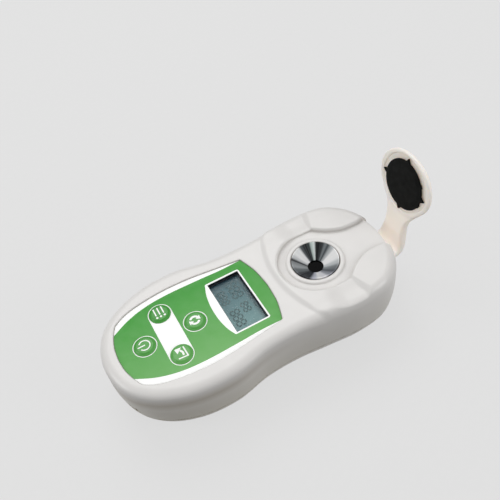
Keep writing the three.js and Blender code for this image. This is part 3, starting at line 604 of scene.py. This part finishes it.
def casing_hollow(x, y, z):
    u = -outline(x, y) - WALL
    lower = rounded(u, z - HOLLOW_FLOOR, HOLLOW_INSET, HOLLOW_HEIGHT) * HOLLOW_INSET / HOLLOW_HEIGHT
    top = CEILING_Z - CEILING_DROP * smoothstep((x - 12) / 4)
    return np.maximum(lower, rounded(u, top - z, TOP_INSET, TOP_HEIGHT))


RECESS_FLOOR, SEAT_RADIUS, CHANNEL_START_X = 31.8, 16.7, 37


def lid_recess(x, y, z):
    """Round seat and the channel for the lid's neck."""
    side = np.abs(y)
    seat = np.hypot(x - WELL_X, y) - SEAT_RADIUS
    walls = side - np.interp(x, channel_curve[:, 0], channel_curve[:, 1])
    neck = np.maximum(walls, CHANNEL_START_X - x) * 0.93
    return smax(smin(seat, neck, 1.2), RECESS_FLOOR - z, 0.3)


NOTCH_Y, NOTCH_FLOOR_Z = 13.6, 32.1


def finger_notches(x, y, z):
    """Shallow grips at both sides of the seat, each with a raised fin on its lid side."""
    side = np.abs(y)
    foot = 38.4 + (side - 11.7) * 0.175
    crest = 41.2 + (side - 15.8) * 0.348
    ramp = 32.0 + 1.8 * (x - foot - 0.3) / (crest - foot - 0.9)
    bottom = NOTCH_FLOOR_Z + 0.75 * smoothstep((23 - side) / 7) + 1.5 * smoothstep((34 - x) / 10)
    bottom = bottom - 0.15 * np.maximum(side - 26, 0)
    return smax(NOTCH_Y - side, smax(bottom, ramp, 0.4) - z, 0.6)


SLOT_Y, SLOT_FLOOR_X, SLOT_HALF_WIDTH, SLOT_LOW, SLOT_HIGH = -13, -60.2, 2.6, 14, 17.2
BAR_X, BAR_HOLE_RADIUS, BAR_HALF_LENGTH = -62.1, 0.85, 2.8
COLLAR_OUTER, COLLAR_INNER, COLLAR_TOP, COLLAR_LOW = 12.9, 10.6, 32.75, 31
KEY_HOLE_RADIUS, KEY_HOLE_LOW = 5.05, 28
BOSS_RADIUS, BOSS_BORE, BOSS_TOP = 3, 1.3, 31
NECK_OPENING = (60, 9, 18)
NECK_BACKING = (57.3, 13.2, 15.8, 29.0)


def strap_slot(x, y, z, grow):
    """Slot for a wrist strap, or its walls when grown by their thickness."""
    half, low, high = SLOT_HALF_WIDTH + grow, SLOT_LOW - grow, SLOT_HIGH + grow
    return block(x, y - SLOT_Y, z, -FAR, SLOT_FLOOR_X + grow, half, low, high)


def top_shell_field(x, y, z):
    form = smax(smax(casing_form(x, y, z), -lid_recess(x, y, z), 1.1), -finger_notches(x, y, z), 0.5)
    radius = np.hypot(x - WELL_X, y)
    wall = smax(radius - COLLAR_OUTER, COLLAR_INNER - radius, 0.2)
    collar = smax(wall, smax(z - COLLAR_TOP, COLLAR_LOW - z, 0.2), 0.9)
    form = smin(form, collar, 0.5)
    start_x, half_y, low_z = NECK_OPENING
    skin = smax(-outline(x, y) - 1.9, np.abs(y) - half_y, 0.6)
    end_opening = smax(skin, np.maximum(low_z - z, start_x - x), 0.3)
    form = smax(form, -end_opening, 0.8)
    form = smax(form, -strap_slot(x, y, z, 0), 0.3)
    shell = np.maximum(form, -casing_hollow(x, y, z))
    back_x, *back_size = NECK_BACKING
    backing = np.minimum(block(x, y, z, back_x, FAR, *back_size), strap_slot(x, y, z, WALL))
    shell = np.minimum(shell, np.maximum(backing, form))
    for sx, sy in SCREWS:
        reach = np.hypot(x - sx, y - sy)
        boss = np.maximum(reach - BOSS_RADIUS, BOSS_BORE - reach)
        boss = np.maximum(boss, np.maximum(10.3 - z, z - BOSS_TOP))
        shell = np.minimum(shell, boss)
    holes = np.minimum(block(x, y, z, 59.5, FAR, 9, 18, 27.8), np.maximum(radius - 10.62, 20 - z))
    holes = np.minimum(holes, np.maximum(np.hypot(x - HINGE[0], z - HINGE[1]) - 1.35, np.abs(y) - 12.4))
    bar_hole = np.hypot(x - BAR_X, y - SLOT_Y) - BAR_HOLE_RADIUS
    holes = np.minimum(holes, np.maximum(bar_hole, np.abs(z - 15.6) - BAR_HALF_LENGTH))
    middle, reach = (WINDOW[0] + WINDOW[1]) / 2, (WINDOW[1] - WINDOW[0]) / 2
    holes = np.minimum(holes, block(x, y, z, middle - reach, middle + reach, WINDOW[2], 20, FAR))
    ledge = reach + 1.3
    holes = np.minimum(holes, block(x, y, z, middle - ledge, middle + ledge, WINDOW[2] + 1.3, 20, 31.95))
    for kx, ky in KEYS.values():
        bore = np.hypot(x - kx, y - ky) - KEY_HOLE_RADIUS
        holes = np.minimum(holes, np.maximum(bore, KEY_HOLE_LOW - z))
    shell = np.maximum(shell, -holes)
    shell = smax(shell, -np.maximum(label_plan(x, y) - 0.15, 31.8 - z), 0.3)
    return smax(shell, PARTING_Z + 0.03 - z, 0.4)


PILLAR_RADIUS, HEAD_BORE, HEAD_SEAT_Z, SHANK_BORE = 4.2, 2.9, 5.35, 1.5
BAY_HALF_WIDTH, DOOR_END_X, DOOR_SLOT_HALF_WIDTH = 13.9, -5.7, 13.7
DOOR_X, DOOR_HALF_WIDTH, TONGUE_HALF_WIDTH, TONGUE_LOW, TONGUE_TOP = -6, 12, 13.4, 1.15, 2
RIBS, FIRST_RIB_X, RIB_PITCH = 6, -13, 2.2


def bottom_shell_field(x, y, z):
    form = casing_form(x, y, z)
    shell = np.maximum(form, -casing_hollow(x, y, z))
    shell = smax(shell, z - PARTING_Z + 0.03, 0.4)
    bay = block(x, y, z, -57.5, -6.5, BAY_HALF_WIDTH, 2, 16.6)
    bay = np.minimum(bay, block(x, y, z, -FAR, -55.8, BAY_HALF_WIDTH, 2, 4.4))
    shell = np.minimum(shell, np.maximum(bay, form))
    for sx, sy in SCREWS:
        pillar = np.maximum(np.hypot(x - sx, y - sy) - PILLAR_RADIUS, np.maximum(1 - z, z - 9.7))
        shell = np.minimum(shell, pillar)
    ring = np.abs(-outline(x, y) - 3.0) - 0.5
    holes = np.maximum(ring, 9.25 - z)
    holes = np.minimum(holes, block(x, y, z, -55.8, -8.2, 12.2, -1, 14.9))
    holes = np.minimum(holes, block(x, y, z, -FAR, DOOR_END_X, DOOR_SLOT_HALF_WIDTH, 0.95, 2.2))
    shell = np.maximum(shell, -holes)
    shell = smax(shell, -block(x, y, z, -FAR, DOOR_END_X, 12.3, -1, 1.15), 0.3)
    for sx, sy in SCREWS:
        reach = np.hypot(x - sx, y - sy)
        shell = smax(shell, -np.maximum(reach - HEAD_BORE, z - HEAD_SEAT_Z), 0.3)
        shell = np.maximum(shell, SHANK_BORE - reach + np.maximum(0, z - 10))
    return shell


def battery_door_field(x, y, z):
    side = np.abs(y)
    plate = smax(smax(x - DOOR_X, side - DOOR_HALF_WIDTH, 0.3), z - 1.25, 0.2)
    tongue = np.maximum(x - DOOR_X, side - TONGUE_HALF_WIDTH)
    tongue = np.maximum(tongue, np.maximum(TONGUE_LOW - z, z - TONGUE_TOP))
    door = smax(np.minimum(plate, tongue), casing_form(x, y, z), 0.3)
    for k in range(RIBS):
        reach = np.abs(x - FIRST_RIB_X + RIB_PITCH * k) - 0.55
        door = smax(door, -np.maximum(np.maximum(reach, side - 6.5 + 0.4 * k), z - 0.55), 0.35)
    return door


top_mesh = shaped("casing_top", top_shell_field, (-68.2, -32, 9.4), (68.2, 32, 34.4), 0.5, 0.4)
add_object("casing_top", top_mesh, casing_white.material, "casing", ["top_shell"])
bottom_mesh = shaped("casing_bottom", bottom_shell_field, (-68.2, -32, -0.8), (68.2, 32, 17.2), 0.5, 0.35)
add_object("casing_bottom", bottom_mesh, casing_white.material, "casing", ["bottom_shell"])
door_mesh = shaped("door_cover", battery_door_field, (-68.2, -14.2, -0.6), (-5.2, 14.2, 2.6), 0.3, 0.35)
add_object("door_cover", door_mesh, casing_white.material, "battery_door", ["battery_door"])


# -------------------------------------------------------------- label, keys

RING_OUTER, RING_INNER = 5.2, 4.82
window_loop = np.array([
    (WINDOW[0], -WINDOW[2]), (WINDOW[1], -WINDOW[2]), (WINDOW[1], WINDOW[2]), (WINDOW[0], WINDOW[2]),
])
crescent = spline([
    (-14.55, 14.4), (-16.2, 9.5), (-17.1, 4.0), (-17.3, -1.0), (-17.0, -6.0), (-16.0, -11.0), (-14.7, -14.4),
], 40)
frame_loop = np.concatenate([
    circle(1.05, -14.2, 0.95, 8, -90, 0, False), circle(1.05, 14.2, 0.95, 8, 0, 90, False),
    circle(-13.7, 14.2, 0.95, 8, 90, 160, False), crescent, circle(-13.8, -14.2, 0.95, 8, 205, 270, False),
])
key_x, key_y = KEYS["list"]
pill_loop = np.concatenate([
    circle(key_x, key_y, RING_OUTER, 36, 0, 180, False),
    circle(key_x, -key_y, RING_OUTER, 36, 180, 360, False),
])
key_holes = [circle(x, y, RING_INNER) for x, y in KEYS.values()]
base_mesh = plate_mesh("label_base", [label_loop, window_loop, *key_holes], LABEL_Z - 0.3, LABEL_Z)
add_object("label_base", base_mesh, label_white.material, "casing", replaces=["graphic_label"])

green_loop = mirrored(np.concatenate([
    [p for p in label_end if p[1] <= GREEN_SIDE[0][1]], spline(GREEN_SIDE, 40), label_head[1:],
]))
printed_rings = [circle(*KEYS[k], RING_OUTER) for k in ("power", "cycle")]
green_loops = [green_loop, frame_loop, pill_loop, *printed_rings]
green_mesh = plate_mesh("label_field", green_loops, LABEL_Z - 0.02, LABEL_Z + 0.04)
add_object("label_field", green_mesh, label_green.material, "casing")

DOME = [
    (0, 28.6), (1.6, 28.6), (1.6, 29.1), (5.7, 29.1), (5.7, 29.9), (4.72, 29.9), (4.72, 32.2),
    (4.68, 32.36), (4.55, 32.42), (4.3, 32.46), (4.1, 32.58), (3.92, 32.78), (3.74, 32.92),
    (3.5, 32.99), (3.2, 33.0), (0, 33.0),
]


def power_icon():
    ring = stroke(circle(0, 0, 2.35, 40, -145, 145, False), 0.5)
    return [ring, stroke([(-3.0, 0), (-1.4, 0), (0.3, 0)], 0.5)]


def list_icon():
    bars = [stroke([(x, -0.9), (x, 1.0), (x, 3.0)], 0.55) for x in (-1.75, 0, 1.75)]
    return bars + [circle(x, -2.0, 0.5, 16) for x in (-1.75, 0, 1.75)]


def cycle_icon():
    parts = []
    for turn in (0, 180):
        arc = circle(0, 0, 1.85, 20, turn + 30, turn + 150, False)
        tip = math.radians(turn + 30)
        aim = np.array([math.sin(tip), -math.cos(tip)])
        across = np.array([math.cos(tip), math.sin(tip)])
        base = 1.85 * across
        parts.append(stroke(arc, 0.95))
        parts.append(np.array([base + 1.15 * across, base + 1.75 * aim, base - 1.15 * across]))
    return parts


def export_icon():
    corner = np.array([(1.5, 2.6), (2.05, 2.6), (2.3, -2.65), (-2.0, -2.3), (-2.0, -1.75), (1.7, -2.05)])
    arc = stroke(spline([(0.5, -1.3), (0.6, 0.2), (-0.1, 1.5)], 14), 0.85)
    head = np.array([(-2.0, 2.9), (-1.6, 0.3), (0.9, 2.6)])
    return [corner, arc, head]


ICON_LOW, ICON_TOP = 32.98, 33.04
ICONS = {"power": power_icon, "list": list_icon, "cycle": cycle_icon, "export": export_icon}
for key, (x, y) in KEYS.items():
    cap = turned("cap_" + key, DOME, x, y, 72)
    add_object("cap_" + key, cap, key_green.material, "key_" + key, ["key_" + key])
    loops = [np.asarray(part) + (x, y) for part in ICONS[key]()]
    for number, loop in enumerate(loops):
        mark = plate_mesh(f"icon_{key}_{number}", [loop], ICON_LOW, ICON_TOP)
        add_object(f"icon_{key}_{number}", mark, icon_white.material, "key_" + key)


# ------------------------------------------------------------------ display

EDGE = 0.35
SURROUND_LOW, SURROUND_TOP = 30.05, 30.75
MARK_LOW, MARK_TOP, MARK_WIDTH = 30.03, 30.1, 0.62
inner = np.array([
    (WINDOW[0] + EDGE, -WINDOW[2] + EDGE), (WINDOW[1] - EDGE, -WINDOW[2] + EDGE),
    (WINDOW[1] - EDGE, WINDOW[2] - EDGE), (WINDOW[0] + EDGE, WINDOW[2] - EDGE),
])
edge_mesh = plate_mesh("display_surround", [window_loop * 0.999, inner], SURROUND_LOW, SURROUND_TOP)
add_object("display_surround", edge_mesh, surround.material, "casing")


def digit(x, y, height, width, marks):
    """Unlit seven-segment digit whose foot is at x, left edge at y, read with +X up."""
    rows = [x, x + height / 2, x + height]
    for r in rows:
        marks.append(stroke([(r, y - 0.3), (r, y - width / 2), (r, y - width + 0.3)], MARK_WIDTH))
    for side in (y, y - width):
        for r in rows[:2]:
            line = [(r + 0.35, side), (r + height / 4, side), (r + height / 2 - 0.35, side)]
            marks.append(stroke(line, MARK_WIDTH))


# rows of digits: how many, foot, left edge, pitch, height and width
DIGIT_ROWS = [
    (3, -6.4, 11.6, 3.3, 4.6, 2.3), (2, -5.6, -1.0, 3.0, 3.2, 2.0),
    (3, -12.0, 9.4, 2.8, 3.4, 1.9), (3, -11.4, -2.6, 3.1, 4.0, 2.2),
]
marks = []
for count, foot, left, pitch, tall, wide in DIGIT_ROWS:
    for k in range(count):
        digit(foot, left - pitch * k, tall, wide, marks)
for k in range(4):
    marks.append(stroke([(0.0, 10.5 - 4.6 * k), (0.0, 9.5 - 4.6 * k), (0.0, 8.4 - 4.6 * k)], 0.7))
segments = plate_mesh("display_segments", marks, MARK_LOW, MARK_TOP)
add_object("display_segments", segments, lcd_ghost.material, "casing")


# -------------------------------------------------------------- sample well

CUP_PROFILE = [
    (3.5, 28.2), (5.5, 28.2), (9.6, 30.2), (9.6, 27.0), (12.4, 27.0), (12.4, 28.0), (10.5, 28.0),
    (10.5, 32.8), (10.46, 32.92), (10.38, 32.98), (10.25, 32.98), (10.1, 32.9), (8.9, 32.05),
    (7.0, 30.75), (5.2, 29.6), (3.9, 28.8), (3.62, 28.62), (3.5, 28.5),
]
cup_mesh = turned("cup", CUP_PROFILE, WELL_X, 0, 128)
add_object("cup", cup_mesh, chrome.material, "casing", ["sample_cup"])


# ---------------------------------------------------------------------- lid

turn = np.array([
    [math.cos(LID_OPEN), 0, math.sin(LID_OPEN)],
    [0, 1, 0],
    [-math.sin(LID_OPEN), 0, math.cos(LID_OPEN)],
])
LID_PLACE = (turn, np.array([HINGE[0], 0, HINGE[1]]))
NECK_FOOT = -17.7
LID_HALF_LENGTH, LID_HALF_WIDTH, LID_RIM_Z, KNUCKLE_RADIUS = 14.7, 16.6, 10.3, 3.6
PAD_RADIUS, PAD_FACE_Z, PAD_BACK_Z = 11.75, 9.6, 10.72
under = spline([
    (NECK_FOOT - 4, 11.2), (NECK_FOOT, 10.3), (-13, 9.4), (-7, 9), (-2, 9), (0.9, 8.7), (2.2, 7.4),
    (2.5, 5), (2.4, 0),
], 36)
outside = spline([
    (4, -0.5), (5.4, 3), (5.4, 6.8), (4.2, 9.9), (1.3, 11.8), (-3, 12.7), (-7.6, 12.9), (-12, 12.8),
    (NECK_FOOT - 4, 12.7),
], 36)
side_plan = Plan(np.concatenate([under, outside]), margin=4.0, cell=0.25)
neck_curve = spline([
    (-24, 13.0), (NECK_FOOT, 9.4), (-14.6, 7.4), (-11, 6.5), (-6, 6.6), (-2, 7.4), (1.4, 8.1), (3, 8.4),
    (8, 8.4),
], 50)


def lid_field(x, y, z):
    """The lid as it lies when closed, measured from its hinge."""
    px = (x - PAD_X + 1) / LID_HALF_LENGTH
    py = y / LID_HALF_WIDTH
    edge = (np.hypot(px, py) - 1) * 15.6
    back = 13.3 - 0.55 * (px * px + py * py)
    head = smax(smax(edge, z - back, 2.2), LID_RIM_Z - z, 1.0)
    neck = smax(side_plan(x, z), np.abs(y) - np.interp(x, neck_curve[:, 0], neck_curve[:, 1]), 1.6)
    neck = smax(neck, PAD_X + 4 - x, 0.5)
    cover = smin(head, neck, 2.0)
    knuckle = smax(np.hypot(x, z) - KNUCKLE_RADIUS, np.abs(y) - 8.4, 0.5)
    cover = smin(cover, knuckle, 0.6)
    radius = np.hypot(x - PAD_X, y)
    away = smoothstep((PAD_X + 9 - x) / 8)
    seat = smax(radius - 12.9 - 1.3 * away, z - 10.7 - 0.45 * away, 0.5)
    cover = smax(cover, -seat, 0.6)
    return np.maximum(cover, 1.33 - np.hypot(x, z))


def pad_field(x, y, z):
    dx, dy = x - PAD_X, y
    radius = np.hypot(dx, dy)
    disc = radius - PAD_RADIUS
    for k in range(4):
        c, s = math.cos(k * math.pi / 2), math.sin(k * math.pi / 2)
        along, across = dx * c + dy * s, np.abs(-dx * s + dy * c)
        disc = smin(disc, np.maximum((across - (13.9 - along) * 0.62) * 0.85, 10.5 - along), 0.3)
    for angle in (60, 110):
        c, s = math.cos(math.radians(angle)), -math.sin(math.radians(angle))
        along, across = dx * -c + dy * s, np.abs(dx * -s - dy * c)
        disc = smin(disc, np.maximum(across - 0.9, np.maximum(along - 12.15, 10 - along)), 0.2)
    face = PAD_FACE_Z + 0.25 * smoothstep((radius - 9.5) / 2.2)
    return smax(smax(disc, z - PAD_BACK_Z, 0.1), face - z, 0.3)


lid_mesh = shaped("lid_shell", lid_field, (-48.5, -17.4, -4.4), (6.2, 17.4, 14.2), 0.35, 0.45, LID_PLACE)
add_object("lid_shell", lid_mesh, lid_cream.material, "lid", ["lid_cover"])
pad_low, pad_high = (PAD_X - 15, -15, 9.0), (PAD_X + 15, 15, 11.2)
pad_mesh = shaped("lid_seal", pad_field, pad_low, pad_high, 0.25, 0.35, LID_PLACE)
add_object("lid_seal", pad_mesh, rubber.material, "lid", ["lid_pad"])


# ------------------------------------------------------- floor, light, camera

FLOOR_RADIUS, FLOOR_SIDES, FLOOR_GAP, FLOOR_GLOW = 4000, 128, 0.0001, 0.645
WORLD_STRENGTH = 0.46
SENSOR, LENS = 36, 47.248416
CAMERA_PLACE = (-0.05598974, -0.16237463, 0.25415475)

floor_finish = Finish("floor", "5a5a5a", "585858", 0.85, spread=0.05, bump=0.0)
floor_finish.shader.inputs["Emission Color"].default_value = (1, 1, 1, 1)
floor_finish.shader.inputs["Emission Strength"].default_value = FLOOR_GLOW
floor_rim = [(x, y, 0) for x, y in circle(0, 0, FLOOR_RADIUS, FLOOR_SIDES)]
floor_mesh = new_mesh("floor", floor_rim, [list(range(FLOOR_SIDES))], smooth=False)
floor_mesh.materials.append(floor_finish.material)
floor = bpy.data.objects.new("floor", floor_mesh)
bpy.context.scene.collection.objects.link(floor)
floor.location.z = -FLOOR_GAP
floor.visible_diffuse = False

world = bpy.data.worlds.new("studio")
bpy.context.scene.world = world
world.use_nodes = True
tree = world.node_tree
background = tree.nodes["Background"]
direction = tree.nodes.new("ShaderNodeTexCoord")
split = tree.nodes.new("ShaderNodeSeparateXYZ")
fade = tree.nodes.new("ShaderNodeValToRGB")
tree.links.new(direction.outputs["Generated"], split.inputs[0])
height = tree.nodes.new("ShaderNodeMapRange")
height.inputs["From Min"].default_value = -1
tree.links.new(split.outputs[2], height.inputs["Value"])
tree.links.new(height.outputs["Result"], fade.inputs[0])
tree.links.new(fade.outputs[0], background.inputs[0])
stops = fade.color_ramp.elements
stops[0].position, stops[0].color = 0.0, (0.05, 0.046, 0.034, 1)
stops[1].position, stops[1].color = 1.0, (1.0, 1.0, 1.0, 1)
for position, level in ((0.46, 0.14), (0.52, 0.62), (0.75, 0.9)):
    stops.new(position).color = (level, level, level * 0.985, 1)
background.inputs["Strength"].default_value = WORLD_STRENGTH


def area_light(name, place, aim, size, energy):
    data = bpy.data.lights.new(name, "AREA")
    data.shape, data.size, data.energy = "DISK", size, energy
    lamp = bpy.data.objects.new(name, data)
    lamp.location = place
    lamp.rotation_mode = "QUATERNION"
    lamp.rotation_quaternion = (Vector(aim) - Vector(place)).to_track_quat("-Z", "Y")
    bpy.context.scene.collection.objects.link(lamp)


# name, place and aim in metres, size in metres, power in watts
LIGHTS = [
    ("key", (0.1, 0.45, 0.75), (0.01, 0.0, 0.02), 0.7, 2.9),
    ("near", (0.6, -0.6, 0.36), (0.04, 0, 0.02), 0.45, 2.3),
    ("fill", (-0.75, 0.2, 0.4), (0.07, 0, 0.05), 0.4, 1.6),
]
for light in LIGHTS:
    area_light(*light)

camera_data = bpy.data.cameras.new("camera")
camera_data.sensor_width = SENSOR
camera_data.lens = LENS
camera_data.clip_start, camera_data.clip_end = 0.01, 20
camera = bpy.data.objects.new("camera", camera_data)
right = Vector((0.87580424, -0.46741705, -0.12036703))
down = Vector((-0.42502137, -0.62865581, -0.65126701))
forward = Vector((0.22874387, 0.62154097, -0.74924166))
axes = Matrix((right, -down, -forward)).transposed()
camera.matrix_world = Matrix.Translation(CAMERA_PLACE) @ axes.to_4x4()
bpy.context.scene.collection.objects.link(camera)
bpy.context.scene.camera = camera
bpy.context.scene.view_settings.view_transform = "Standard"
